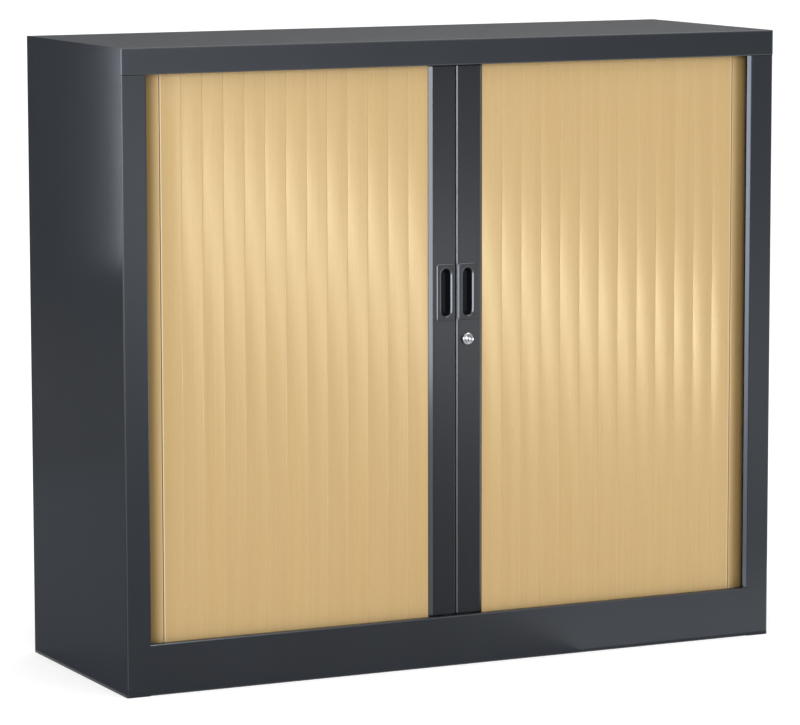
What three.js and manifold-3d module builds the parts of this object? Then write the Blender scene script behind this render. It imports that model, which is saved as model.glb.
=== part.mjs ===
// A steel cupboard whose two tambour doors roll round into its sides, in millimetres, +Z up.
// The origin is on the floor under the middle of the cupboard, and the doors face -Y.

import * as THREE from 'three';
import { mergeVertices } from 'three/addons/utils/BufferGeometryUtils.js';
import Module from 'manifold-3d';

const wasm = await Module();
wasm.setup();

// Carcass
const cabinetWidth = 1200;
const cabinetDepth = 420;
const cabinetHeight = 1050;
const sheet = 1;
const foldRadius = 1.2;
const fitGap = 0.3;
const seamGap = 0.1;
const frontReturn = 43;
const returnLip = 13;
const rearReturn = 20;
const fasciaHeight = 43;
const rearDrop = 20;
const plinthHeight = 85;
const floorDrop = 10;
const ceilingRise = 10.3;
const baseFlange = 20;
const rearUpstand = 95;
const floorTurnDown = 35;
const overrun = 2;
const weld = 0.1;

// Curtain and its tracks
const curtainSetback = 15;
const slatThickness = 8;
const slatPitch = 36.8;
const slatCrown = 0.7;
const slatEdge = 0.6;
const slatGap = 0.15;
const slatEndPlay = 0.7;
const cornerRadius = 59;
const sideRunInset = 12;
const rearRunInset = 14;
const rearRunLength = 89;
const grooveClearance = 1;
const trackWall = 1.5;
const lowerTrackHeight = 8.7;
const upperTrackHeight = 8.5;
const innerEase = 8;

// Bead and socket that hinge one slat on the next
const hingeInset = 3.2;
const hingeDepth = 4.9;
const beadRadius = 1.8;
const socketRadius = 2.1;
const neckThickness = 1.2;
const rearRelief = 1.4;
const mouthHalfAngle = THREE.MathUtils.degToRad(46);

// Leading posts
const postGap = 2;
const postWidth = 49;
const postProud = 4;
const postWall = 1.5;
const postBevel = 6;
const postEdgeRadius = 2.5;
const postDepth = 25;
const postOuterDepth = 21;
const postEndGap = 2;
const shoeStart = 5;
const shoeWidth = 22;
const shoeHeight = 34;

// Handle cups
const handleOffset = 20;
const plateWidth = 33;
const plateHeight = 94.5;
const plateThickness = 3.2;
const plateCorner = 3;
const plateEdge = 0.9;
const handleHeightShare = 0.5996;
const recessWidth = 20;
const recessHeight = 81.5;
const recessDepth = 17;
const recessFloorWidth = 15;
const rimWidth = 1.4;
const rimHeight = 0.8;
const cupWall = 1.5;
const cutoutClearance = 0.4;

// Lock
const lockGap = 31.75;
const barrelRadius = 10;
const barrelReach = 6;
const barrelEdge = 1.2;
const shankRadius = 8.5;
const shankDepth = 16;
const plugRadius = 6;
const plugSetback = 0.4;
const plugFit = 0.3;
const keyWidth = 1.8;
const keyHeight = 8;
const keyDepth = 9;
const spindleRadius = 3.5;
const hookThickness = 2;
const hookBoss = 7;
const hookArm = 9;
const hookReach = 31;
const hookClaw = 5;
const clawLead = THREE.MathUtils.degToRad(22);
const screwHeadRadius = 5;
const screwHeadHeight = 2;
const hookWindowHeight = 36;
const hookWindowDepth = 6;
const hookClearance = 0.7;

// Linings, shelves and their clips
const liningInset = 44;
const liningFrontSetback = 55;
const liningRearSetback = 50;
const liningFlange = 12;
const liningTab = 10;
const slotWidth = 4;
const slotHeight = 14;
const slotPitch = 30;
const slotMargin = 38;
const slotInset = 45;
const shelfSetback = 45;
const shelfRearGap = 12;
const shelfEndGap = 2.5;
const shelfFold = 25;
const shelfReturn = 12;
const shelfEndFold = 20;
const shelfShares = [1 / 3, 2 / 3];
const clipSheet = 1.7;
const clipWidth = 16;
const clipLedge = 14;
const clipDrop = 9;
const clipHookWidth = 3;
const clipHookDrop = 4;
const clipTongue = 5;

// Levelling feet and their brackets under the floor
const footInsetX = 70;
const footInsetY = 60;
const padRadius = 18;
const padHeight = 5;
const padLift = 0.3;
const studRadius = 5;
const studHeight = 58;
const threadClearance = 0.6;
const hexRadius = 9.5;
const hexHeight = 7;
const hexLift = 7;
const bracketHeight = 22;
const bracketSheet = 2;
const bracketWidth = 56;
const bracketDepth = 44;
const nutHeight = 9;
const nutRadius = 10.5;

// Steps of the round stretches
const foldSteps = 2;
const cornerSteps = 9;
const crownSteps = 4;
const beadSteps = 7;
const recessSteps = 4;
const postEdgeSteps = 4;
const roundSteps = 24;
const studSteps = 12;
const hexSides = 6;
const hingeHalvings = 40;

const materials = {
  paint: new THREE.MeshStandardMaterial({ color: 0x3a3d43, roughness: 0.5, metalness: 0.2 }),
  beech: new THREE.MeshStandardMaterial({ color: 0xd1b283, roughness: 0.45, metalness: 0 }),
  blackPlastic: new THREE.MeshStandardMaterial({ color: 0x1c1e21, roughness: 0.5, metalness: 0 }),
  chrome: new THREE.MeshStandardMaterial({ color: 0xd5d7da, roughness: 0.15, metalness: 1 }),
  zinc: new THREE.MeshStandardMaterial({ color: 0xa9adb1, roughness: 0.35, metalness: 1 }),
};

// Places that more than one piece shares
const halfWidth = cabinetWidth / 2;
const halfDepth = cabinetDepth / 2;
const skinInside = halfWidth - sheet - foldRadius;
const lidUnderside = cabinetHeight - sheet;
const fasciaBottom = cabinetHeight - fasciaHeight;
const ceilingHeight = fasciaBottom + ceilingRise;
const floorHeight = plinthHeight - floorDrop;
const curtainFront = -halfDepth + curtainSetback;
const frontRunY = curtainFront + slatThickness / 2;
const grooveHalf = slatThickness / 2 + grooveClearance;
const trackHalf = grooveHalf + trackWall;
const railLip = frontRunY - trackHalf - foldRadius;
const sideRunX = halfWidth - sideRunInset;
const rearRunY = halfDepth - rearRunInset;
const cornerX = sideRunX - cornerRadius;
const frontCornerY = frontRunY + cornerRadius;
const rearCornerY = rearRunY - cornerRadius;
const lowerTrackBase = floorHeight + fitGap;
const upperTrackTop = ceilingHeight - fitGap;
const slatBottom = lowerTrackBase + trackWall + slatEndPlay;
const slatTop = upperTrackTop - trackWall - slatEndPlay;
const postInner = postGap / 2;
const postOuter = postInner + postWidth;
const postFront = curtainFront - postProud;
const postRear = postFront + postDepth;
const hingeY = curtainFront + hingeDepth;
const plinthSeam = halfWidth - frontReturn + foldRadius + sheet;
const liningFace = halfWidth - liningInset;
const liningFront = -halfDepth + liningFrontSetback;
const liningRear = halfDepth - liningRearSetback;
const handleMiddle = handleHeightShare * cabinetHeight;
const lockHeight = handleMiddle - plateHeight / 2 - lockGap;
const hookMiddleY = postRear - postWall - hookWindowDepth / 2;

const xAxis = new THREE.Vector3(1, 0, 0);
const yAxis = new THREE.Vector3(0, 1, 0);
const zAxis = new THREE.Vector3(0, 0, 1);

function outline(points) {
  return new THREE.Shape(points.map(([a, b]) => new THREE.Vector2(a, b)));
}

function extrude(shape, depth) {
  return new THREE.ExtrudeGeometry(shape, { depth, bevelEnabled: false, curveSegments: cornerSteps });
}

// A plan drawn in X and Y, raised from one height to another.
function raised(shape, bottom, top) {
  return extrude(shape, top - bottom).translate(0, 0, bottom);
}

// A section drawn in Y and Z, carried along X.
function alongX(shape, start, end) {
  const basis = new THREE.Matrix4().makeBasis(yAxis, zAxis, xAxis);
  return extrude(shape, end - start).applyMatrix4(basis).translate(start, 0, 0);
}

// A front view drawn in X and Z, carried along Y.
function alongY(shape, front, back) {
  const basis = new THREE.Matrix4().makeBasis(xAxis, zAxis, yAxis.clone().negate());
  return extrude(shape, back - front).applyMatrix4(basis).translate(0, back, 0);
}

function block(x0, x1, y0, y1, z0, z1) {
  return new THREE.BoxGeometry(x1 - x0, y1 - y0, z1 - z0)
    .translate((x0 + x1) / 2, (y0 + y1) / 2, (z0 + z1) / 2);
}

// A closed profile of [radius, height] turned about the upright axis through (x, y).
function turned(profile, x, y, steps = roundSteps) {
  const points = profile.map(([radius, height]) => new THREE.Vector2(radius, height));
  return new THREE.LatheGeometry(points, steps).rotateX(Math.PI / 2).translate(x, y, 0);
}

// A closed profile of [radius, depth behind the front plane] turned about an axis along Y.
function turnedAlongY(profile, x, z, steps = roundSteps) {
  const points = profile.map(([radius, y]) => new THREE.Vector2(radius, y));
  return new THREE.LatheGeometry(points, steps).translate(x, 0, z);
}

// A closed triangle mesh as a solid that can be joined and cut.
function solid(geometry) {
  const bare = new THREE.BufferGeometry();
  bare.setAttribute('position', geometry.getAttribute('position'));
  if (geometry.index) bare.setIndex(geometry.index);
  const merged = mergeVertices(bare);
  return new wasm.Manifold(new wasm.Mesh({
    numProp: 3,
    vertProperties: new Float32Array(merged.attributes.position.array),
    triVerts: new Uint32Array(merged.index.array),
  }));
}

function joined(...geometries) {
  return geometries.map(asSolid).reduce((whole, piece) => whole.add(piece));
}

function cut(geometry, ...tools) {
  return tools.map(asSolid).reduce((whole, tool) => whole.subtract(tool), asSolid(geometry));
}

function asSolid(item) {
  return item instanceof THREE.BufferGeometry ? solid(item) : item;
}

function meshOf(name, item, material) {
  const { vertProperties, triVerts, numProp } = asSolid(item).getMesh();
  const indexed = new THREE.BufferGeometry();
  const positions = new Float32Array(3 * (vertProperties.length / numProp));
  for (let i = 0; i < positions.length / 3; i += 1) {
    positions.set(vertProperties.subarray(i * numProp, i * numProp + 3), 3 * i);
  }
  indexed.setAttribute('position', new THREE.BufferAttribute(positions, 3));
  indexed.setIndex(Array.from(triVerts));
  const geometry = indexed.toNonIndexed();
  geometry.computeVertexNormals();
  const mesh = new THREE.Mesh(geometry, material);
  mesh.name = name;
  return mesh;
}

// The same piece on the other side of the cupboard's middle plane.
function mirrored(mesh, name) {
  const twin = new THREE.Mesh(mesh.geometry, mesh.material);
  twin.name = name;
  twin.scale.x = -1;
  return twin;
}

// Rounds each inner corner of a line of points; radii holds one radius for each of them.
function rounded(points, radii, steps = foldSteps) {
  const line = [points[0]];
  for (let i = 1; i < points.length - 1; i += 1) {
    const corner = new THREE.Vector2(...points[i]);
    const before = new THREE.Vector2(...points[i - 1]).sub(corner).normalize();
    const after = new THREE.Vector2(...points[i + 1]).sub(corner).normalize();
    const half = before.angleTo(after) / 2;
    const centre = corner.clone().addScaledVector(
      before.clone().add(after).normalize(), radii[i - 1] / Math.sin(half));
    const from = corner.clone().addScaledVector(before, radii[i - 1] / Math.tan(half)).sub(centre);
    const to = corner.clone().addScaledVector(after, radii[i - 1] / Math.tan(half)).sub(centre);
    const sweep = Math.atan2(from.cross(to), from.dot(to));
    for (let k = 0; k <= steps; k += 1) {
      const spoke = from.clone().rotateAround(new THREE.Vector2(), sweep * k / steps);
      line.push([centre.x + spoke.x, centre.y + spoke.y]);
    }
  }
  line.push(points[points.length - 1]);
  return line;
}

// The section of a folded sheet: `path` is its outer face, and the metal lies to the left of it.
function foldedSheet(path) {
  const turns = path.slice(1, -1).map((point, i) => {
    const [before, after] = [path[i], path[i + 2]];
    return (point[0] - before[0]) * (after[1] - point[1]) - (point[1] - before[1]) * (after[0] - point[0]);
  });
  const left = path.map((point, i) => {
    const [before, after] = [path[Math.max(i - 1, 0)], path[Math.min(i + 1, path.length - 1)]];
    const entry = i > 0 ? unitNormal(before, point) : unitNormal(point, after);
    const exit = i < path.length - 1 ? unitNormal(point, after) : entry;
    const spread = 1 + entry[0] * exit[0] + entry[1] * exit[1];
    return [0, 1].map((k) => point[k] + sheet * (entry[k] + exit[k]) / spread);
  });
  const outer = turns.map((turn) => (turn > 0 ? foldRadius + sheet : foldRadius));
  const inner = turns.map((turn) => (turn > 0 ? foldRadius : foldRadius + sheet));
  return outline([...rounded(path, outer), ...rounded(left, inner).reverse()]);
}

function unitNormal([ax, ay], [bx, by]) {
  const length = Math.hypot(bx - ax, by - ay);
  return [-(by - ay) / length, (bx - ax) / length];
}

// Boxes on both sides of the middle plane.
function bothSides(x0, x1, ...rest) {
  return [block(x0, x1, ...rest), block(-x1, -x0, ...rest)];
}

// Carcass

// The lid is one folded sheet, with an inner pan welded under it that carries the tracks.
function topPanel() {
  const lid = alongX(foldedSheet([
    [halfDepth, cabinetHeight - rearDrop], [halfDepth, cabinetHeight], [-halfDepth, cabinetHeight],
    [-halfDepth, fasciaBottom], [railLip, fasciaBottom],
  ]), -halfWidth, halfWidth);
  const panFront = railLip + sheet;
  const panRear = rearRunY + trackHalf + fitGap;
  const pan = alongX(foldedSheet([
    [panFront, lidUnderside + weld], [panFront, ceilingHeight],
    [panRear, ceilingHeight], [panRear, lidUnderside + weld],
  ]), -skinInside, skinInside);
  const lipNotches = bothSides(skinInside, halfWidth + overrun,
    -halfDepth + sheet + fitGap / 2, railLip + overrun,
    fasciaBottom - overrun, fasciaBottom + sheet + foldRadius);
  const rearNotches = bothSides(halfWidth - rearReturn - fitGap, halfWidth + overrun,
    halfDepth - sheet - foldRadius - fitGap, halfDepth + overrun,
    cabinetHeight - rearDrop - overrun, lidUnderside);
  return meshOf('top_panel', joined(cut(lid, ...lipNotches, ...rearNotches), pan), materials.paint);
}

// Each side is folded round the front corner into the return and its lip, and round the back.
function sidePanel() {
  const height = lidUnderside - fitGap;
  const wall = raised(foldedSheet([
    [halfWidth - frontReturn, -halfDepth + returnLip], [halfWidth - frontReturn, -halfDepth],
    [halfWidth, -halfDepth], [halfWidth, halfDepth], [halfWidth - rearReturn, halfDepth],
  ]), 0, height);
  const shoulder = fasciaBottom - fitGap;
  const behindFascia = -halfDepth + sheet + fitGap;
  const fasciaNotch = block(halfWidth - frontReturn - overrun, halfWidth + overrun,
    -halfDepth - overrun, behindFascia, shoulder, height + overrun);
  const lipNotch = block(halfWidth - frontReturn - overrun, halfWidth - sheet - fitGap,
    -halfDepth - overrun, -halfDepth + returnLip + overrun, shoulder, height + overrun);
  const foldNotch = block(halfWidth - frontReturn - overrun, halfWidth + overrun,
    -halfDepth - overrun, behindFascia + foldRadius, lidUnderside - foldRadius - fitGap, height + overrun);
  const plinthNotch = block(halfWidth - frontReturn - overrun, plinthSeam,
    -halfDepth - overrun, -halfDepth + returnLip + overrun, -overrun, plinthHeight + fitGap);
  return meshOf('right_side_panel',
    cut(wall, fasciaNotch, lipNotch, foldNotch, plinthNotch), materials.paint);
}

// The floor, its front plinth and a rear strip with an upstand that the back panel is riveted to.
function basePanel() {
  const rearFace = halfDepth - sheet;
  const plinthEnd = plinthSeam - seamGap;
  const front = alongX(foldedSheet([
    [rearFace + weld, floorHeight], [railLip, floorHeight], [railLip, plinthHeight],
    [-halfDepth, plinthHeight], [-halfDepth, 0], [-halfDepth + baseFlange, 0],
  ]), -plinthEnd, plinthEnd);
  const rear = alongX(foldedSheet([
    [halfDepth - baseFlange, 0], [halfDepth, 0], [halfDepth, rearUpstand],
  ]), -(halfWidth - rearReturn - fitGap), halfWidth - rearReturn - fitGap);
  const wingFront = Math.max(railLip, -halfDepth + returnLip) + fitGap;
  const wings = bothSides(plinthEnd - weld, skinInside,
    wingFront, rearFace - foldRadius, floorHeight - sheet, floorHeight);
  const turnDowns = bothSides(skinInside - sheet, skinInside,
    wingFront, rearFace - foldRadius, floorHeight - floorTurnDown, floorHeight - sheet + weld);
  const plinthTabs = bothSides(plinthEnd - sheet, plinthEnd,
    -halfDepth + sheet - weld, railLip - sheet - foldRadius, sheet + foldRadius, plinthHeight - sheet + weld);
  const brackets = footPlaces().map(([x, y]) => footBracket(x, y));
  return meshOf('base_panel',
    joined(front, rear, ...wings, ...turnDowns, ...plinthTabs, ...brackets), materials.paint);
}

function footPlaces() {
  const x = halfWidth - footInsetX;
  const y = halfDepth - footInsetY;
  return [[-x, -y], [x, -y], [-x, y], [x, y]];
}

// A channel under the floor with a nut for the foot's stud.
function footBracket(x, y) {
  const underside = floorHeight - sheet + weld;
  const channel = joined(
    block(x - bracketWidth / 2, x + bracketWidth / 2, y - bracketDepth / 2, y + bracketDepth / 2,
      bracketHeight, bracketHeight + bracketSheet),
    block(x - bracketWidth / 2, x - bracketWidth / 2 + bracketSheet,
      y - bracketDepth / 2, y + bracketDepth / 2, bracketHeight, underside),
    block(x + bracketWidth / 2 - bracketSheet, x + bracketWidth / 2,
      y - bracketDepth / 2, y + bracketDepth / 2, bracketHeight, underside));
  const nutTop = bracketHeight + bracketSheet + nutHeight;
  const nut = turned([[0, bracketHeight], [nutRadius, bracketHeight], [nutRadius, nutTop], [0, nutTop]],
    x, y, hexSides);
  const bore = studRadius + threadClearance;
  const hole = turned([[0, bracketHeight - overrun], [bore, bracketHeight - overrun],
    [bore, nutTop + overrun], [0, nutTop + overrun]], x, y, studSteps);
  return cut(channel.add(solid(nut)), hole);
}

function backPanel() {
  const rear = halfDepth - sheet - fitGap;
  return meshOf('back_panel', block(-skinInside + fitGap, skinInside - fitGap,
    rear - sheet, rear, floorHeight + fitGap, lidUnderside - foldRadius - fitGap), materials.paint);
}

// Linings

function slotHeights() {
  const first = floorHeight + slotMargin;
  const count = Math.floor((ceilingHeight - slotMargin - first) / slotPitch) + 1;
  return Array.from({ length: count }, (_, i) => first + i * slotPitch);
}

function slotColumns() {
  return [liningFront + slotInset, liningRear - slotInset];
}

// The lining keeps what is stored off the rolled-back curtain; shelf clips hook into its slots.
function innerLining() {
  const bottom = floorHeight + fitGap;
  const top = ceilingHeight - fitGap;
  const flangeEnd = liningFace + liningFlange;
  const frontFold = raised(foldedSheet([
    [liningFace, liningFront + 2 * (sheet + foldRadius)], [liningFace, liningFront], [flangeEnd, liningFront],
  ]), bottom, top);
  const rearFold = raised(foldedSheet([
    [flangeEnd, liningRear], [liningFace, liningRear], [liningFace, liningRear - 2 * (sheet + foldRadius)],
  ]), bottom, top);
  const tabFront = liningFront + liningFlange;
  const tabRear = liningRear - liningFlange;
  const tabs = [bottom, top - sheet].map((z) =>
    block(liningFace + sheet - weld, liningFace + liningTab, tabFront, tabRear, z, z + sheet));
  const web = block(liningFace, liningFace + sheet,
    liningFront + sheet + foldRadius, liningRear - sheet - foldRadius, bottom, top);
  const slots = slotColumns().flatMap((y) => slotHeights().map((z) => block(
    liningFace - overrun, liningFace + sheet + overrun,
    y - slotWidth / 2, y + slotWidth / 2, z - slotHeight / 2, z + slotHeight / 2)));
  return meshOf('right_lining', joined(cut(web, ...slots), frontFold, rearFold, ...tabs), materials.paint);
}

// Shelves and clips

function shelfSlots() {
  const heights = slotHeights();
  return shelfShares.map((share) => heights[Math.round(share * (heights.length - 1))]);
}

function ledgeTop(slotZ) {
  return slotZ + slotHeight / 2 + clipTongue / 2;
}

function shelfTop(slotZ) {
  return ledgeTop(slotZ) + fitGap + shelfEndFold;
}

// A shelf pan, folded down all round, with returns along the front and back.
function shelf(name, slotZ) {
  const top = shelfTop(slotZ);
  const front = -halfDepth + shelfSetback;
  const rear = rearRunY - trackHalf - shelfRearGap;
  const end = liningFace - shelfEndGap;
  const pan = alongX(foldedSheet([
    [rear - shelfReturn, top - shelfFold], [rear, top - shelfFold], [rear, top],
    [front, top], [front, top - shelfFold], [front + shelfReturn, top - shelfFold],
  ]), -end, end);
  const endFolds = bothSides(end - sheet, end, front + sheet / 2, rear - sheet / 2,
    top - shelfEndFold, top - sheet / 2);
  return meshOf(name, joined(pan, ...endFolds), materials.paint);
}

// A clip: a plate with a ledge for the shelf, and two hooks that drop into a pair of slots.
function shelfClip(name, side, columnY, slotZ) {
  const plateX = liningFace - fitGap;
  const top = ledgeTop(slotZ);
  const bottom = slotZ - slotPitch - clipDrop;
  const angle = outline([
    [plateX, bottom], [plateX, top], [plateX - clipLedge, top],
    [plateX - clipLedge, top - clipSheet], [plateX - clipSheet, top - clipSheet],
    [plateX - clipSheet, bottom],
  ]);
  const hookFront = liningFace + sheet + fitGap;
  const hooks = [slotZ, slotZ - slotPitch].map((z) => {
    const seat = z - slotHeight / 2 + fitGap;
    return alongY(outline([
      [plateX - weld, seat], [hookFront, seat], [hookFront, seat - clipHookDrop],
      [hookFront + clipSheet, seat - clipHookDrop], [hookFront + clipSheet, seat + clipTongue],
      [plateX - weld, seat + clipTongue],
    ]), columnY - clipHookWidth / 2, columnY + clipHookWidth / 2);
  });
  const body = alongY(angle, columnY - clipWidth / 2, columnY + clipWidth / 2);
  const mesh = meshOf(name, joined(body, ...hooks), materials.zinc);
  mesh.scale.x = side;
  return mesh;
}

// Tracks

// The plan of a band along the curtain's path, `spread` to each side of its middle line.
// The inside of each corner is eased, because a flat slat cuts across the bend.
function trackBand(spread, start, rearEnd) {
  const easedRadius = cornerRadius - spread + innerEase;
  const plan = new THREE.Shape();
  plan.moveTo(start, frontRunY - spread);
  plan.lineTo(cornerX, frontRunY - spread);
  plan.absarc(cornerX, frontCornerY, cornerRadius + spread, -Math.PI / 2, 0, false);
  plan.absarc(cornerX, rearCornerY, cornerRadius + spread, 0, Math.PI / 2, false);
  plan.lineTo(rearEnd, rearRunY + spread);
  plan.lineTo(rearEnd, rearRunY - spread);
  const innerX = sideRunX - spread - easedRadius;
  plan.absarc(innerX, rearRunY - spread - easedRadius, easedRadius, Math.PI / 2, 0, true);
  plan.absarc(innerX, frontRunY + spread + easedRadius, easedRadius, 0, -Math.PI / 2, true);
  plan.lineTo(start, frontRunY + spread);
  return plan;
}

// A grooved rail; its closed ends stop the curtain at the back and meet its twin at the front.
function track(name, bottom, height, grooveUp) {
  const rearEnd = cornerX - rearRunLength;
  const rail = raised(trackBand(trackHalf, fitGap / 2, rearEnd), bottom, bottom + height);
  const floor = grooveUp ? bottom + trackWall : bottom - overrun;
  const roof = grooveUp ? bottom + height + overrun : bottom + height - trackWall;
  const groove = raised(trackBand(grooveHalf, fitGap / 2 + trackWall, rearEnd + trackWall), floor, roof);
  return meshOf(name, cut(rail, groove), materials.blackPlastic);
}

// Curtain

// The plan of one slat. Its joint line is at u = 0, its front face at v = 0, and v grows backwards.
// The socket on its left holds the last slat's bead, and its own bead sits past its right edge.
function slatPlan() {
  const right = slatPitch - slatGap;
  const points = [[slatGap, slatEdge + slatCrown / 2]];
  for (let k = 0; k <= crownSteps; k += 1) {
    const u = slatGap + slatEdge + (right - slatGap - 2 * slatEdge) * k / crownSteps;
    points.push([u, slatCrown * (2 * k / crownSteps - 1) ** 2]);
  }
  points.push([right, slatEdge + slatCrown / 2]);
  points.push(...beadLine(slatPitch, right));
  points.push([right, slatThickness], [slatGap + rearRelief, slatThickness]);
  for (let k = 0; k <= beadSteps; k += 1) {
    const angle = Math.PI - mouthHalfAngle - (2 * Math.PI - 2 * mouthHalfAngle) * k / beadSteps;
    points.push([
      hingeInset + socketRadius * Math.cos(angle), hingeDepth + socketRadius * Math.sin(angle),
    ]);
  }
  points.push([slatGap, hingeDepth - socketRadius]);
  return outline(points);
}

// The neck and bead past the joint line at `joint`, met at the edge `edge` of what carries it.
function beadLine(joint, edge) {
  const reach = Math.sqrt(beadRadius ** 2 - (neckThickness / 2) ** 2);
  const opening = Math.atan2(neckThickness / 2, -reach);
  const line = [[edge, hingeDepth - neckThickness / 2]];
  for (let k = 0; k <= beadSteps; k += 1) {
    const angle = -opening + 2 * opening * k / beadSteps;
    line.push([
      joint + hingeInset + beadRadius * Math.cos(angle), hingeDepth + beadRadius * Math.sin(angle),
    ]);
  }
  line.push([edge, hingeDepth + neckThickness / 2]);
  return line;
}

// A point of the hinge line's path, `along` it from the start of the corner; below zero it is straight.
function hingePath(along) {
  const radius = frontCornerY - hingeY;
  if (along <= 0) return new THREE.Vector2(cornerX + along, hingeY);
  const angle = along / radius;
  return new THREE.Vector2(cornerX + radius * Math.sin(angle), frontCornerY - radius * Math.cos(angle));
}

// Where the next hinge lies, one pitch away in a straight line: halving finds it.
function nextHinge(along) {
  const from = hingePath(along);
  let [near, far] = [along + slatPitch, along + slatPitch * Math.SQRT2];
  for (let k = 0; k < hingeHalvings; k += 1) {
    const middle = (near + far) / 2;
    if (hingePath(middle).distanceTo(from) < slatPitch) near = middle;
    else far = middle;
  }
  return near;
}

// One door's slats, from its post to the one that turns into the side.
function curtain(side) {
  const group = new THREE.Group();
  const geometry = meshOf('', raised(slatPlan(), slatBottom, slatTop), materials.beech).geometry;
  const count = Math.ceil((cornerX - postOuter) / slatPitch);
  let along = postOuter + hingeInset - cornerX;
  for (let i = 1; i <= count; i += 1) {
    const next = nextHinge(along);
    const hinge = hingePath(along);
    const chord = hingePath(next).sub(hinge);
    const slat = new THREE.Mesh(geometry.clone().translate(-hingeInset, -hingeDepth, 0), materials.beech);
    slat.name = `${side > 0 ? 'right' : 'left'}_slat_${String(i).padStart(2, '0')}`;
    slat.position.set(hinge.x, hinge.y, 0);
    slat.rotation.z = chord.y > weld ? Math.atan2(chord.y, chord.x) : 0;
    group.add(slat);
    along = next;
  }
  group.scale.x = side;
  return group;
}

// Leading posts

// A channel that is open at the back, with a bevel and the first slat's bead on its outer edge.
function postPlan() {
  const outer = postOuter - slatGap;
  const sideRear = postFront + postOuterDepth;
  const bead = beadLine(postOuter, outer).map(([x, v]) => [x, curtainFront + v]);
  const face = rounded([
    [postInner, postRear], [postInner, postFront], [outer - postBevel, postFront],
  ], [postEdgeRadius], postEdgeSteps);
  const bevelWall = postWall * Math.tan(Math.atan2(postProud, postBevel) / 2);
  return outline([
    ...face, [outer, curtainFront], ...bead, [outer, sideRear], [outer - postWall, sideRear],
    [outer - postWall, curtainFront + bevelWall], [outer - postBevel - bevelWall, postFront + postWall],
    [postInner + postWall, postFront + postWall], [postInner + postWall, postRear],
  ]);
}

// The window in each post's inner wall that the lock's hook swings through.
function hookWindow() {
  return block(postInner - overrun, postInner + postWall + overrun,
    hookMiddleY - hookWindowDepth / 2, hookMiddleY + hookWindowDepth / 2,
    lockHeight - hookArm / 2 - hookClearance, lockHeight + hookWindowHeight);
}

function leadingPost(name, withLock) {
  const bottom = plinthHeight + postEndGap;
  const top = fasciaBottom - postEndGap;
  const channel = raised(postPlan(), bottom, top);
  const shoes = [[slatBottom, bottom, bottom + shoeHeight], [slatTop, top, top - shoeHeight]]
    .flatMap(([tip, end, root]) => [
      block(shoeStart, shoeStart + shoeWidth, curtainFront, curtainFront + slatThickness,
        Math.min(tip, root), Math.max(tip, root)),
      block(shoeStart, shoeStart + shoeWidth, postFront + postWall - weld, curtainFront + weld,
        Math.min(end, root), Math.max(end, root)),
    ]);
  const cutoutHalf = recessWidth / 2 + cupWall + cutoutClearance;
  const cutout = stadiumStack([
    [cutoutHalf, postFront + postWall + overrun], [cutoutHalf, postFront - overrun],
  ]);
  const lockHole = turnedAlongY([
    [0, postFront - overrun], [shankRadius + fitGap, postFront - overrun],
    [shankRadius + fitGap, postFront + postWall + overrun], [0, postFront + postWall + overrun],
  ], handleOffset, lockHeight);
  const holes = withLock ? [cutout, lockHole, hookWindow()] : [cutout, hookWindow()];
  return meshOf(name, cut(joined(channel, ...shoes), ...holes), materials.paint);
}

// Handle cups

// Outlines of as many points each, stacked from back to front and skinned into one closed body.
function skinned(rings) {
  const around = rings[0].length;
  const faces = [];
  for (let ring = 0; ring < rings.length - 1; ring += 1) {
    for (let k = 0; k < around; k += 1) {
      const a = ring * around + k;
      const b = ring * around + (k + 1) % around;
      faces.push(a, b, a + around, b, b + around, a + around);
    }
  }
  const last = (rings.length - 1) * around;
  for (let k = 1; k < around - 1; k += 1) {
    faces.push(0, k + 1, k, last, last + k, last + k + 1);
  }
  const geometry = new THREE.BufferGeometry();
  geometry.setAttribute('position', new THREE.Float32BufferAttribute(rings.flat(2), 3));
  geometry.setIndex(faces);
  return geometry;
}

// A rectangle with round corners in the plane at y, anticlockwise as seen from the front.
function roundedRing(halfW, halfH, radius, y) {
  return [[1, 1], [-1, 1], [-1, -1], [1, -1]].flatMap(([sx, sz], quarter) =>
    Array.from({ length: recessSteps + 1 }, (_, k) => {
      const angle = Math.PI / 2 * (quarter + k / recessSteps);
      return [
        handleOffset + sx * (halfW - radius) + radius * Math.cos(angle), y,
        handleMiddle + sz * (halfH - radius) + radius * Math.sin(angle),
      ];
    }));
}

// Stadium rings, each given as [half width, y], round the same straight middle.
function stadiumStack(rings) {
  const straightHalf = (recessHeight - recessWidth) / 2;
  return skinned(rings.map(([half, y]) => roundedRing(half, half + straightHalf, half - weld, y)));
}

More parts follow.
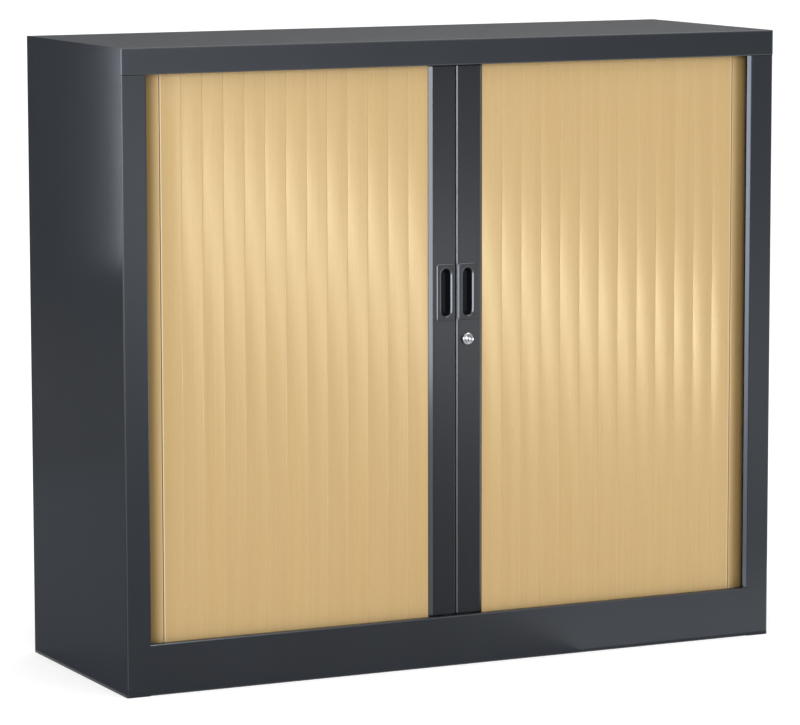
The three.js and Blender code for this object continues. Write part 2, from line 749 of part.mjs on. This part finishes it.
// A framed plate on the post's face, with a raised rim round a stadium recess for the fingers.
function handleCup() {
  const plateBack = postFront - fitGap;
  const plateFront = plateBack - plateThickness;
  const mouth = recessWidth / 2;
  const floorRadius = recessFloorWidth / 2;
  const recessFloor = plateFront + recessDepth;
  const plateRing = (inset, y) => roundedRing(plateWidth / 2 - inset, plateHeight / 2 - inset,
    plateCorner - inset, y);
  const softened = plateEdge * (1 - Math.SQRT1_2);
  const plate = skinned([
    plateRing(0, plateBack), plateRing(0, plateFront + plateEdge),
    plateRing(softened, plateFront + softened), plateRing(plateEdge, plateFront),
  ]);
  const rim = stadiumStack([
    [mouth + rimWidth, plateFront + weld], [mouth + rimWidth, plateFront - rimHeight / 2],
    [mouth + rimWidth / 2, plateFront - rimHeight],
  ]);
  const cup = stadiumStack([
    [floorRadius, recessFloor + cupWall], [floorRadius + cupWall, recessFloor - cupWall],
    [mouth + cupWall, plateBack + postWall + fitGap], [mouth + cupWall, plateBack - weld],
  ]);
  const recess = stadiumStack([
    [floorRadius - cupWall, recessFloor], [floorRadius, recessFloor - 2 * cupWall],
    [mouth, plateFront], [mouth + rimWidth / 2, plateFront - rimHeight - overrun],
  ]);
  return meshOf('right_handle_cup', cut(joined(plate, rim, cup), recess), materials.blackPlastic);
}

// Lock

function lockBarrel() {
  const face = postFront - barrelReach;
  const seat = postFront - fitGap;
  const bore = plugRadius + plugFit;
  const profile = turnedAlongY([
    [bore, face + barrelEdge / 2], [bore + barrelEdge / 2, face], [barrelRadius - barrelEdge, face],
    [barrelRadius, face + barrelEdge], [barrelRadius, seat], [shankRadius, seat],
    [shankRadius, postFront + shankDepth], [bore, postFront + shankDepth], [bore, face + barrelEdge / 2],
  ], handleOffset, lockHeight);
  return meshOf('lock_barrel', profile, materials.chrome);
}

function lockPlug() {
  const face = postFront - barrelReach + plugSetback;
  const rear = postFront + shankDepth;
  const hookRear = hookMiddleY + hookThickness / 2 + fitGap;
  const core = turnedAlongY([
    [0, face], [plugRadius - barrelEdge / 2, face], [plugRadius, face + barrelEdge / 2], [plugRadius, rear],
    [spindleRadius, rear], [spindleRadius, hookRear], [screwHeadRadius, hookRear],
    [screwHeadRadius, hookRear + screwHeadHeight], [0, hookRear + screwHeadHeight],
  ], handleOffset, lockHeight);
  const keyway = block(handleOffset - keyWidth / 2, handleOffset + keyWidth / 2,
    face - overrun, face + keyDepth, lockHeight - keyHeight / 2, lockHeight + keyHeight / 2);
  return meshOf('lock_plug', cut(core, keyway), materials.chrome);
}

// The hook stands upright when unlocked, and its claw leads when it swings towards the left post.
function lockHook() {
  const arm = hookArm / 2;
  const armStart = Math.sqrt(hookBoss ** 2 - arm ** 2);
  const plan = new THREE.Shape();
  plan.absarc(0, 0, hookBoss, Math.atan2(armStart, arm), Math.atan2(armStart, -arm) - 2 * Math.PI, true);
  plan.lineTo(-arm, hookReach - hookClaw);
  const tip = Math.PI / 2 + clawLead;
  plan.lineTo((hookReach - hookClaw) * Math.cos(tip), (hookReach - hookClaw) * Math.sin(tip));
  plan.absarc(0, 0, hookReach, tip, Math.acos(arm / hookReach), true);
  const [front, rear] = [hookMiddleY - hookThickness / 2, hookMiddleY + hookThickness / 2];
  const blank = alongY(plan, front, rear).translate(handleOffset, 0, lockHeight);
  const eye = turnedAlongY([
    [0, front - overrun], [spindleRadius + fitGap, front - overrun],
    [spindleRadius + fitGap, rear + overrun], [0, rear + overrun],
  ], handleOffset, lockHeight);
  return meshOf('lock_hook', cut(blank, eye), materials.zinc);
}

// Feet

function levellingFoot(name, x, y) {
  const shoulder = padLift + padHeight;
  const neck = padLift + hexLift;
  const body = turned([
    [0, padLift], [padRadius, padLift], [padRadius, padLift + padHeight / 2], [studRadius, shoulder],
    [studRadius, studHeight - fitGap], [studRadius - sheet, studHeight], [0, studHeight],
  ], x, y, studSteps);
  const hex = turned([[0, neck], [hexRadius, neck], [hexRadius, neck + hexHeight], [0, neck + hexHeight]],
    x, y, hexSides);
  return meshOf(name, joined(body, hex), materials.blackPlastic);
}

function carcass() {
  const group = new THREE.Group();
  const side = sidePanel();
  const lining = innerLining();
  group.add(topPanel(), basePanel(), side, mirrored(side, 'left_side_panel'), backPanel(),
    lining, mirrored(lining, 'left_lining'));
  const lower = track('right_lower_track', lowerTrackBase, lowerTrackHeight, true);
  const upper = track('right_upper_track', upperTrackTop - upperTrackHeight, upperTrackHeight, false);
  group.add(lower, mirrored(lower, 'left_lower_track'), upper, mirrored(upper, 'left_upper_track'));
  const corners = ['front_left', 'front_right', 'rear_left', 'rear_right'];
  footPlaces().forEach(([x, y], i) => group.add(levellingFoot(`${corners[i]}_foot`, x, y)));
  return group;
}

function shelving() {
  const group = new THREE.Group();
  shelfSlots().forEach((slotZ, level) => {
    const row = ['lower', 'upper'][level];
    group.add(shelf(`${row}_shelf`, slotZ));
    slotColumns().forEach((y, column) => [-1, 1].forEach((side) => {
      const place = `${column ? 'rear' : 'front'}_${side > 0 ? 'right' : 'left'}`;
      group.add(shelfClip(`${row}_clip_${place}`, side, y, slotZ));
    }));
  });
  return group;
}

function doors() {
  const group = new THREE.Group();
  const cup = handleCup();
  group.add(curtain(1), curtain(-1));
  group.add(leadingPost('right_post', true), mirrored(leadingPost('', false), 'left_post'));
  group.add(cup, mirrored(cup, 'left_handle_cup'), lockBarrel(), lockPlug(), lockHook());
  return group;
}

const cupboard = new THREE.Group();
cupboard.add(carcass(), shelving(), doors());

export default cupboard;
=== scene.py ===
import math

import bpy
from mathutils import Matrix, Vector


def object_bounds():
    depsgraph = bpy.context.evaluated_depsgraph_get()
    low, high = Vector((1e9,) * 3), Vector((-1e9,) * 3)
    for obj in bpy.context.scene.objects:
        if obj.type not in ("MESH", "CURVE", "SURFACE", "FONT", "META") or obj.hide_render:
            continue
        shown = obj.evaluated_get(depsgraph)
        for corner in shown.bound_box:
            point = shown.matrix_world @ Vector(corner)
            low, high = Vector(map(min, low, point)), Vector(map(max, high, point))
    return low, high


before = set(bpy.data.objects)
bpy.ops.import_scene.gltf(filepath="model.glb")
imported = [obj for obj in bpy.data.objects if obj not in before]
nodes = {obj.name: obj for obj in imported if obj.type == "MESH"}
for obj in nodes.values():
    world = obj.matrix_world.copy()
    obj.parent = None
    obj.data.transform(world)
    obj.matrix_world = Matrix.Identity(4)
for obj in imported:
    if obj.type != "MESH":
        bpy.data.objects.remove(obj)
cad_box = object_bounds()


# The camera stands low and to the left of the front, a long way off with a long lens, so that
# the uprights stay almost upright. Its place was worked out from the corners in the photograph.
camera_data = bpy.data.cameras.new("camera")
camera_data.sensor_width = 36.0
camera_data.lens = 186.1
camera_data.clip_end = 100.0
camera = bpy.data.objects.new("camera", camera_data)
camera.location = (-3.062, -6.302, 1.424)
camera_yaw, camera_pitch, camera_roll = 25.857, 7.613, -0.093
camera.rotation_mode = "QUATERNION"


def aimed(yaw, pitch, roll):
    """A turn to yaw degrees from +Y towards +X, then pitch degrees down, then roll about the view."""
    turn = Matrix.Rotation(math.radians(-yaw), 3, "Z")
    tilt = Matrix.Rotation(math.radians(90 - pitch), 3, "X")
    spin = Matrix.Rotation(math.radians(roll), 3, "Z")
    return (turn @ tilt @ spin).to_quaternion()


camera.rotation_quaternion = aimed(camera_yaw, camera_pitch, camera_roll)
bpy.context.scene.collection.objects.link(camera)
bpy.context.scene.camera = camera
bpy.context.scene.view_settings.view_transform = "Standard"


# Every finish is a principled shader. A Wire is one socket of it, and sums and products of
# wires add the nodes that work them out; Finish.node makes any other node.
class Wire:
    """A number, colour or vector that comes out of a node."""

    def __init__(self, finish, socket):
        self.finish, self.socket = finish, socket

    def math(self, operation, *others):
        """The Math node of that operation on this wire and the others, in the order given."""
        return self.finish.node("ShaderNodeMath", {"operation": operation},
                                dict(enumerate([self, *others])))

    def __add__(self, other):
        return self.math("ADD", other)

    __radd__ = __add__

    def __mul__(self, other):
        return self.math("MULTIPLY", other)

    __rmul__ = __mul__

    def __sub__(self, other):
        return self.math("SUBTRACT", other)

    def __rsub__(self, other):
        return self.finish.node("ShaderNodeMath", {"operation": "SUBTRACT"}, {0: other, 1: self})

    def __truediv__(self, other):
        return self.math("DIVIDE", other)

    def __pow__(self, other):
        return self.math("POWER", other)

    def __abs__(self):
        return self.math("ABSOLUTE")

    def step(self, low, high):
        """0 below low, 1 above high, and a smooth rise between; high may be the lower of the two."""
        return self.finish.node("ShaderNodeMapRange", {"interpolation_type": "SMOOTHSTEP"},
                                {"Value": self, "From Min": low, "From Max": high})

    def within(self, low, high, soft):
        """1 from low to high, and 0 from soft further out on either side."""
        return self.step(low - soft, low) * self.step(high + soft, high)


class Finish:
    """One material: its principled shader with the given constants, and its nodes. x, y and z are
    the place on the object, and facing, fronting and rising are the normal along these axes, so
    that fronting is -1 on a surface that faces the front."""

    def __init__(self, name, **constants):
        self.material = bpy.data.materials.new(name)
        self.material.use_nodes = True
        self.tree = self.material.node_tree
        self.shader = self.tree.nodes["Principled BSDF"]
        self.wear(**constants)
        self.place = self.node("ShaderNodeTexCoord", output="Object")
        self.normal = self.node("ShaderNodeTexCoord", output="Normal")
        self.x, self.y, self.z = self.split(self.place)
        self.facing, self.fronting, self.rising = self.split(self.normal)

    def node(self, kind, settings=(), inputs=(), output=0):
        """A node of that kind; its settings are set first, then its sockets are filled or linked."""
        made = self.tree.nodes.new(kind)
        for key, value in dict(settings).items():
            setattr(made, key, value)
        for key, value in dict(inputs).items():
            self.feed(made.inputs[key], value)
        return Wire(self, made.outputs[output])

    def feed(self, socket, value):
        """Links a wire to the socket, or sets it to a number, a vector or a colour without its alpha."""
        if isinstance(value, Wire):
            self.tree.links.new(value.socket, socket)
        else:
            socket.default_value = (*value, 1.0) if socket.type == "RGBA" else value

    def wear(self, **values):
        """Feeds each value to the shader's socket of that name."""
        for key, value in values.items():
            self.feed(self.shader.inputs[key.replace("_", " ")], value)

    def split(self, vector):
        """The vector's three parts."""
        return [self.node("ShaderNodeSeparateXYZ", {}, {0: vector}, output=axis) for axis in "XYZ"]

    def joined(self, x=0.0, y=0.0, z=0.0):
        """The vector with these parts."""
        return self.node("ShaderNodeCombineXYZ", {}, {"X": x, "Y": y, "Z": z})

    def scaled(self, sx, sy, sz, shift=None):
        """The object's coordinates, multiplied along each axis, after an optional shift."""
        moved = self.place if shift is None else self.node(
            "ShaderNodeVectorMath", {"operation": "ADD"}, {0: self.place, 1: shift})
        return self.node("ShaderNodeVectorMath", {"operation": "MULTIPLY"}, {0: moved, 1: (sx, sy, sz)})

    def noise(self, vector, detail=2.0, roughness=0.5):
        """Fractal noise about 0.5, with one lump to each unit of the vector."""
        return self.node("ShaderNodeTexNoise", {}, {
            "Vector": vector, "Scale": 1.0, "Detail": detail, "Roughness": roughness})

    def mix(self, factor, low, high):
        """The colour low where factor is 0 and high where it is 1."""
        return self.node("ShaderNodeMix", {"data_type": "RGBA"}, {0: factor, 6: low, 7: high}, output=2)

    def leaning(self, where, x, y, z):
        """The surface's normal, turned to (x, y, z) where the mask is 1. A normal map reads each
        part of a direction from -1 to 1 as a part of a colour from 0 to 1."""
        colour = self.joined(x * 0.5 + 0.5, y * 0.5 + 0.5, z * 0.5 + 0.5)
        return self.node("ShaderNodeNormalMap", {"space": "OBJECT"}, {"Strength": where, "Color": colour})

    def emboss(self, height, distance, strength=1.0, **over):
        """Raises the surface by height times distance, in metres, over an optional Normal."""
        self.wear(Normal=self.node("ShaderNodeBump", {}, {
            "Height": height, "Distance": distance, "Strength": strength, **over}))


def paint_nodes(finish, *names):
    """Gives CAD nodes a finish in place of the plain one they came with."""
    for name in names:
        nodes[name].data.materials.clear()
        nodes[name].data.materials.append(finish.material)


def brighter(colour, times):
    """The colour with each part multiplied."""
    return tuple(times * part for part in colour)


# The carcass is 1 mm sheet steel, folded and welded, in a satin anthracite powder coat. The
# coat has a fine orange peel. It is thinner along the folded edges and lighter there, partly as
# wear and partly as a painted highlight, and a bright painted highlight runs down the upper part
# of the upright edges. The curtains polish the returns' lips.
half_width, half_depth, height = cad_box[1]
edge_reach, face_depth = 0.0022, 0.0002
lip_face, lip_end, lip_edge = 0.557, -0.197, 0.001
highlight_rise, dull_fall, dullness = (0.60, 0.97), (0.65, 0.35), 0.8  # where a step starts and ends
rolled_lean = 0.7
anthracite = (0.0165, 0.0203, 0.0265)
anthracite_wear_and_highlight = (0.032, 0.037, 0.044)
lip_polish = (0.046, 0.049, 0.055)
painted_upright_highlight = (0.33, 0.35, 0.42)

powder = Finish("anthracite_powder_coat", Specular_IOR_Level=0.15, Coat_Roughness=0.12)
near_x = abs(powder.x).step(half_width - edge_reach, half_width)
near_y = abs(powder.y).step(half_depth - edge_reach, half_depth)
near_z = powder.z.step(height - edge_reach, height)
flat_side = abs(powder.x).step(half_width - 2 * face_depth, half_width - face_depth)
rubbed = powder.noise(powder.scaled(60, 60, 60), detail=3.0)
edges = (near_x * near_y + near_y * near_z + near_x * near_z) * rubbed.step(0.3, 0.7)
upright_edge = near_x * near_y * (1.0 - near_z)
cloud = powder.noise(powder.scaled(5, 5, 3), detail=3.0)
peel = powder.noise(powder.scaled(700, 700, 700), detail=1.0)

folded = (powder.facing ** 4.0 + powder.fronting ** 4.0 + powder.rising ** 4.0).step(0.95, 0.85)
lip = (abs(powder.x).within(lip_face - lip_edge, lip_face + lip_edge, lip_edge)
       * powder.y.step(lip_end + lip_edge, lip_end + 0.2 * lip_edge)
       * abs(powder.facing).step(0.80, 0.95))
inner_fold = (abs(powder.x).within(lip_face - 2 * lip_edge, lip_face + 3 * lip_edge, lip_edge)
              * abs(powder.rising).step(0.4, 0.2))
dull_edge = dullness * near_x * powder.z.step(*dull_fall)

coat = powder.mix(cloud.step(0.3, 0.7), anthracite, brighter(anthracite, 1.12))
# Along the outer edges the coat is lighter, partly from wear and partly as a painted highlight.
coat = powder.mix(edges * 0.8, coat, anthracite_wear_and_highlight)
# A bright painted highlight down the upper part of the upright edges.
coat = powder.mix(upright_edge * powder.z.step(*highlight_rise), coat, painted_upright_highlight)
powder.wear(Base_Color=powder.mix(lip, coat, lip_polish), Metallic=lip,
            Coat_Weight=folded * (1.0 - inner_fold) * (1.0 - dull_edge),
            Roughness=0.27 - 0.17 * flat_side + 0.03 * cloud + 0.02 * peel)
powder.emboss(peel, 0.000012, 0.6, Normal=powder.leaning(
    lip, rolled_lean * powder.facing, -rolled_lean, 0.0))
paint_nodes(powder, "top_panel", "base_panel", "right_side_panel", "left_side_panel", "back_panel",
            "right_lining", "left_lining", "lower_shelf", "upper_shelf")


# The curtain is extruded plastic slats with a beech foil wrapped on their faces. The foil has
# fine upright grain and short dark pores, and no two slats are cut from the same place. Each
# face is a shallow arch, and the foil is most polished along the slat's leading edge.
slat_pitch, first_joint, slat_crown, slat_chamfer = 0.0368, 0.050, 0.0007, 0.0007
front_slats, turn_slope, cut_spread = 13, 0.10, 9.0
chamfer_share = slat_chamfer / slat_pitch
beech_light = (0.668, 0.468, 0.219)
beech_dark = (0.604, 0.408, 0.183)
pore_brown = (0.36, 0.21, 0.09)
fleck_brown = (0.44, 0.28, 0.12)
slat_core = (0.62, 0.44, 0.23)

beech = Finish("beech_foil", Specular_IOR_Level=0.35, Specular_Tint=(1.0, 0.90, 0.62))
place_in_row = (abs(beech.x) - first_joint) / slat_pitch
number = place_in_row.math("FLOOR")
side_sign = beech.x.math("SIGN")
across = (place_in_row - number - 0.5) * side_sign
draw = beech.node("ShaderNodeTexWhiteNoise", {"noise_dimensions": "2D"},
                  {"Vector": beech.joined(number, side_sign)})
shift = beech.joined(z=draw * cut_spread)
streaks = beech.noise(beech.scaled(700, 700, 5.0, shift), detail=4.0, roughness=0.6)
figure = beech.noise(beech.scaled(70, 70, 1.4, shift), detail=3.0)
pores = beech.noise(beech.scaled(2400, 2400, 130, shift), detail=1.0)
flecks = beech.noise(beech.scaled(900, 900, 60, shift), detail=2.0)
grain = (streaks - 0.5) * 0.7 + (figure - 0.5) * 0.5 + 0.5 + (draw - 0.5) * 0.05
foil = beech.mix(grain.step(0.1, 0.9), beech_light, beech_dark)
foil = beech.mix(pores.step(0.66, 0.76) * 0.16, foil, pore_brown)
foil = beech.mix(flecks.step(0.58, 0.72) * 0.20, foil, fleck_brown)

# The foil is painted a lighter line over each slat's chamfered edges, as light that lifts the
# shade there. Past the outer joint a painted shadow browns the corner slat behind the return,
# more on the left than on the right, and the joint is a painted dark line of shade with painted
# highlights along its edges.
painted_chamfer_light = (0.85, 0.64, 0.36)
painted_corner_shadow = (0.13, 0.065, 0.0)
painted_joint_highlight = (1.0, 0.86, 0.62)
painted_joint_shade = (0.16, 0.09, 0.04)
corner_shadow_rise, joint_highlight_reach, joint_shade_reach = (0.001, 0.019), (0.0026, 0.0016), (0.0010, 0.0006)

chamfer_light_mask = abs(across).step(0.5 - 1.3 * chamfer_share, 0.5 - 0.9 * chamfer_share)
# A lighter line painted over the chamfers, as light lifting the shade in the joints.
foil = beech.mix(chamfer_light_mask * 0.5, foil, painted_chamfer_light)
past_joint = abs(beech.x) - (first_joint + front_slats * slat_pitch)
# A painted shadow of the return on the corner slat, more on the left.
foil = beech.mix(past_joint.step(*corner_shadow_rise) * (0.60 - 0.14 * side_sign), foil, painted_corner_shadow)
# Painted highlights along both sides of the outer joint.
foil = beech.mix(abs(past_joint).step(*joint_highlight_reach) * (0.70 - 0.20 * side_sign), foil, painted_joint_highlight)
# The outer joint painted dark as shade.
foil = beech.mix(abs(past_joint).step(*joint_shade_reach) * 0.8, foil, painted_joint_shade)

# The foil covers the front only, and the arch lies between a slat's chamfers. The left door's
# last flat slat has begun to turn towards the corner.
front_facing = beech.fronting.step(-0.25, -0.45)
turning = number.math("GREATER_THAN", front_slats - 1.5) * beech.x.math("LESS_THAN", 0.0)
arch_slope = across * (8.0 * slat_crown / slat_pitch) - turn_slope * turning
flat_part = abs(across).step(0.5 - chamfer_share, 0.5 - 1.2 * chamfer_share)
flat_part = flat_part * front_facing * number.math("LESS_THAN", front_slats - 0.5)
beech.wear(Base_Color=beech.mix(front_facing, slat_core, foil),
           Roughness=0.14 + 0.04 * streaks + 0.02 * pores + 0.09 * (across + 0.5))
beech.emboss(streaks * 0.6 + pores * 0.4, 0.000012, 0.5,
             Normal=beech.leaning(flat_part, arch_slope, -1.0, 0.0))
paint_nodes(beech, *(f"{side}_slat_{i:02d}" for side in ("right", "left")
                     for i in range(1, front_slats + 2)))


# The two leading posts are folded channels in the same anthracite, coated a little glossier.
# Where they meet, their edges are rubbed bright by each other and by hands.
post_coat = (0.0130, 0.0150, 0.0190)
post_shine = (0.070, 0.072, 0.076)
post_front, meeting_width, meeting_depth = -0.2005, 0.0035, 0.003

post_paint = Finish("post_powder_coat", Specular_IOR_Level=0.13, Coat_Roughness=0.12)
post_cloud = post_paint.noise(post_paint.scaled(14, 14, 3), detail=3.0)
post_peel = post_paint.noise(post_paint.scaled(800, 800, 800), detail=1.0)
post_edge = abs(post_paint.facing).step(0.25, 0.5)
meeting_edge = (post_edge * abs(post_paint.x).step(meeting_width + 0.001, meeting_width)
                * post_paint.y.step(post_front + meeting_depth + 0.001, post_front + meeting_depth))
post_colour = post_paint.mix(post_cloud, post_coat, brighter(post_coat, 1.15))
post_paint.wear(Base_Color=post_paint.mix(meeting_edge, post_colour, post_shine), Metallic=meeting_edge,
                Roughness=0.24 + 0.03 * post_cloud + 0.02 * post_peel, Coat_Weight=post_edge)
post_paint.emboss(post_peel, 0.00001, 0.5, Normal=post_paint.leaning(
    meeting_edge, rolled_lean * post_paint.facing, -rolled_lean, 0.0))
paint_nodes(post_paint, "right_post", "left_post")


# The finger pulls are moulded in one piece of dark grey plastic: a framed plate with a raised
# rim round a deep recess. Its edges are rounded and polished by hands, and the recess is matt and
# painted near black as shade.
pull_grey = (0.014, 0.0165, 0.021)
painted_recess_shade = (0.003, 0.0035, 0.0045)
pull_shine = (0.070, 0.074, 0.078)
plate_face, edge_depth = -0.2022, 0.0030

pull = Finish("pull_plastic", Specular_IOR_Level=0.13)
spark = pull.noise(pull.scaled(2200, 2200, 2200), detail=1.0)
deep = pull.y.step(plate_face + 0.001, plate_face + 0.006)
edge = (abs(pull.fronting).step(0.95, 0.80)
        * pull.y.step(plate_face + edge_depth + 0.0004, plate_face + edge_depth))
# The recess is painted near black as shade.
pull.wear(Base_Color=pull.mix(edge, pull.mix(deep, pull_grey, painted_recess_shade), pull_shine), Metallic=edge,
          Roughness=0.24 + 0.08 * spark + 0.45 * deep * (1.0 - edge))
pull.emboss(spark, 0.00002, 0.5, Normal=pull.leaning(
    edge, rolled_lean * pull.facing, -rolled_lean, rolled_lean * pull.rising))
paint_nodes(pull, "right_handle_cup", "left_handle_cup")


# The lock is a chromed barrel and plug, turned on a lathe, with faint rings on its face, which
# is polished a little round.
lock_x, lock_z, lock_radius, lock_roundness, lathe_rings = 0.020, 0.5506, 0.010, 0.30, 26.0
chrome_dark = (0.24, 0.25, 0.26)
chrome_light = (0.38, 0.39, 0.40)

chrome = Finish("lock_chrome", Metallic=1.0)
from_x = (chrome.x - lock_x) / lock_radius
from_z = (chrome.z - lock_z) / lock_radius
ring_radius = (from_x ** 2.0 + from_z ** 2.0) ** 0.5
rings = chrome.noise(chrome.joined(ring_radius * lathe_rings), detail=2.0)
smear = chrome.noise(chrome.scaled(300, 300, 300), detail=2.0)
lock_face = chrome.fronting.step(-0.90, -0.97)
chrome.wear(Base_Color=chrome.mix(smear, chrome_dark, chrome_light),
            Roughness=0.06 + 0.08 * rings + 0.06 * smear)
chrome.emboss(rings, 0.00002, 0.4, Normal=chrome.leaning(
    lock_face, lock_roundness * from_x, -1.0, lock_roundness * from_z))
paint_nodes(chrome, "lock_barrel", "lock_plug")


# The shelf clips and the lock's hook are pressed steel with a bright zinc plate, which has
# faint crystals and is brushed lightly up and down.
zinc_dark = (0.46, 0.48, 0.50)
zinc_light = (0.62, 0.63, 0.64)
crystals_per_metre = 420.0

zinc = Finish("zinc_plate", Metallic=1.0)
spangle = zinc.node("ShaderNodeTexVoronoi", {"feature": "F1"},
                    {"Vector": zinc.place, "Scale": crystals_per_metre}, output="Color")
cell = zinc.node("ShaderNodeSeparateColor", {}, {0: spangle})
brush = zinc.noise(zinc.scaled(900, 900, 60), detail=2.0)
zinc.wear(Base_Color=zinc.mix(cell, zinc_dark, zinc_light), Roughness=0.26 + 0.12 * cell + 0.08 * brush)
zinc.emboss(brush, 0.00002, 0.4)
paint_nodes(zinc, "lock_hook", *(f"{row}_clip_{end}_{side}" for row in ("lower", "upper")
                                 for end in ("front", "rear") for side in ("left", "right")))


# The tracks are extruded and the feet moulded in black plastic, with a fine pitted texture that
# keeps it from shining.
black_deep = (0.009, 0.010, 0.011)
black_grey = (0.016, 0.017, 0.019)

black = Finish("black_plastic", Specular_IOR_Level=0.45)
tint = black.noise(black.scaled(40, 40, 40), detail=2.0)
pit = black.noise(black.scaled(1400, 1400, 1400), detail=1.0)
black.wear(Base_Color=black.mix(tint, black_deep, black_grey), Roughness=0.42 + 0.12 * pit)
black.emboss(pit, 0.00005, 0.5)
for side in ("right", "left"):
    paint_nodes(black, *(f"{side}_{level}_track" for level in ("lower", "upper")),
                *(f"{end}_{side}_foot" for end in ("front", "rear")))


# The studio has a pale room and a white floor that keeps the cupboard's shadow. The camera and
# reflections see both as plain white, and they light the cupboard less than that.
def shown_white(tree):
    """1 for a ray from the camera, off a glossy surface or through glass, and 0 for any other."""
    rays = tree.nodes.new("ShaderNodeLightPath")
    shown = rays.outputs["Is Camera Ray"]
    for kind in ("Is Glossy Ray", "Is Transmission Ray"):
        either = tree.nodes.new("ShaderNodeMath")
        either.operation = "MAXIMUM"
        tree.links.new(shown, either.inputs[0])
        tree.links.new(rays.outputs[kind], either.inputs[1])
        shown = either.outputs[0]
    return shown


black_out, white_out = (0.0, 0.0, 0.0), (1.0, 1.0, 1.0)
room_light = 0.78
world = bpy.data.worlds.new("studio")
world.use_nodes = True
bpy.context.scene.world = world
level = world.node_tree.nodes.new("ShaderNodeMapRange")
level.inputs["To Min"].default_value = room_light
level.inputs["To Max"].default_value = 1.0
background = world.node_tree.nodes["Background"]
background.inputs["Color"].default_value = (*white_out, 1.0)
world.node_tree.links.new(shown_white(world.node_tree), level.inputs["Value"])
world.node_tree.links.new(level.outputs[0], background.inputs["Strength"])


def staged(name, corners, faces, finish):
    """A flat mesh of these corners and faces in that finish, which is no part of the cupboard."""
    mesh = bpy.data.meshes.new(name)
    mesh.from_pydata(corners, [], faces)
    mesh.materials.append(finish.material)
    made = bpy.data.objects.new(name, mesh)
    bpy.context.scene.collection.objects.link(made)
    return made


floor_half, floor_glow, floor_white = 30.0, 0.42, (0.93, 0.93, 0.93)
floor_finish = Finish("studio_white", Roughness=0.9, Specular_IOR_Level=0.0,
                      Base_Color=floor_white, Emission_Strength=floor_glow)
floor_finish.wear(Emission_Color=floor_finish.mix(
    Wire(floor_finish, shown_white(floor_finish.tree)), black_out, white_out))
staged("studio_floor", [(-floor_half, -floor_half, 0), (floor_half, -floor_half, 0),
                        (floor_half, floor_half, 0), (-floor_half, floor_half, 0)],
       [(0, 1, 2, 3)], floor_finish)

# Dim cards stand behind and lie beside the cupboard. They only show as reflections in its side
# and top, which would otherwise mirror nothing but white.
card_left, card_right, card_behind, card_top = -2.2, 2.2, 1.6, 1.9
card_side, card_front, card_height = -0.6005, -0.25, 0.004
wall_left = (0.25, 0.26, 0.28)
wall_right = (0.38, 0.38, 0.38)
wall_foot = (0.37, 0.38, 0.39)
lying_grey = (0.42, 0.46, 0.49)
wall_span, foot_fall, lying_reach = (-1.1, 1.2), (0.62, 0.20), (0.01, 0.10)
card_finish = Finish("card_grey", Roughness=1.0, Specular_IOR_Level=0.0)
wall_shade = card_finish.mix(card_finish.x.step(*wall_span), wall_left, wall_right)
wall_shade = card_finish.mix(card_finish.z.step(*foot_fall), wall_shade, wall_foot)
card_finish.wear(Base_Color=card_finish.mix(card_finish.z.step(*lying_reach), lying_grey, wall_shade))
cards = staged("dim_cards", [
    (card_left, card_behind, 0.0), (card_right, card_behind, 0.0),
    (card_right, card_behind, card_top), (card_left, card_behind, card_top),
    (card_left, card_front, card_height), (card_side, card_front, card_height),
    (card_side, card_behind, card_height), (card_left, card_behind, card_height)],
    [(0, 1, 2, 3), (4, 5, 6, 7)], card_finish)
cards.visible_camera = cards.visible_diffuse = cards.visible_shadow = cards.visible_transmission = False


def lamp(name, place, target, size, watts, shade=white_out, lean=0.0, lights=False, on=()):
    """A rectangular soft lamp at place that faces target; size is its width and height in metres,
    and lean turns it clockwise in degrees as the target sees it. One that doesn't light only shows
    as a reflection. Where on names pieces, it reaches no others."""
    data = bpy.data.lights.new(name, "AREA")
    data.shape = "RECTANGLE"
    data.size, data.size_y = size
    data.energy = watts
    data.color = shade
    made = bpy.data.objects.new(name, data)
    made.location = place
    made.rotation_mode = "QUATERNION"
    made.rotation_quaternion = ((Vector(target) - Vector(place)).to_track_quat("-Z", "Y")
                                @ Matrix.Rotation(math.radians(lean), 3, "Z").to_quaternion())
    made.visible_diffuse, made.visible_camera = lights, False
    if on:
        reached = bpy.data.collections.new(name + "_reaches")
        for piece in on:
            reached.objects.link(nodes[piece])
        made.light_linking.receiver_collection = reached
    bpy.context.scene.collection.objects.link(made)


# The key and overhead light the cupboard. Each of the others is placed for what mirrors it, such
# as the slats, the edges that face left, the left side, or the plinth and the right return.
cool_white, cool_grey, sky_blue = (0.92, 0.96, 1.0), (0.82, 0.88, 1.0), (0.74, 0.84, 1.0)
floor_lamp_height = 0.008
plinth_and_return = ("base_panel", "right_side_panel")
lamp("band", (1.08, -2.9, 0.355), (0.0, -0.2, 0.66), (1.64, 0.15), 19.3, (0.95, 0.98, 1.0), -16.6)
lamp("left", (-2.6, -1.1, 0.66), (0.0, -0.2, 0.6), (3.2, 1.25), 110.0, (0.88, 0.92, 1.0))
lamp("upper_left", (-0.05, -2.9, 1.75), (-0.5, -0.2, 1.0), (0.9, 0.35), 145.0, sky_blue)
lamp("rear_left", (-1.12, 0.87, 0.90), (-0.6, -0.2, 0.88), (0.08, 0.64), 2.5, cool_grey)
lamp("right", (2.0, -1.25, 0.14), (0.6, -0.2, 0.2), (0.5, 0.26), 12.0, (0.90, 0.95, 1.0))
lamp("floor_near", (0.73, -0.42, floor_lamp_height), (0.73, -0.40, 2.0), (1.0, 0.42), 3.5,
     cool_white, on=plinth_and_return)
lamp("floor_right", (1.52, -1.45, floor_lamp_height), (1.52, -1.43, 2.0), (0.25, 2.1), 4.5,
     cool_white, 30.7, on=plinth_and_return)
lamp("above", (1.04, -0.5, 2.8), (0.0, -0.2, 0.6), (1.5, 1.5), 24.0)
lamp("key", (-1.5, -8.0, 3.6), (0.0, 0.0, 0.5), (3.0, 2.0), 110.0, lights=True)
lamp("overhead", (0.0, -1.2, 3.6), (0.0, 0.0, 0.5), (3.0, 2.0), 14.0, lights=True)
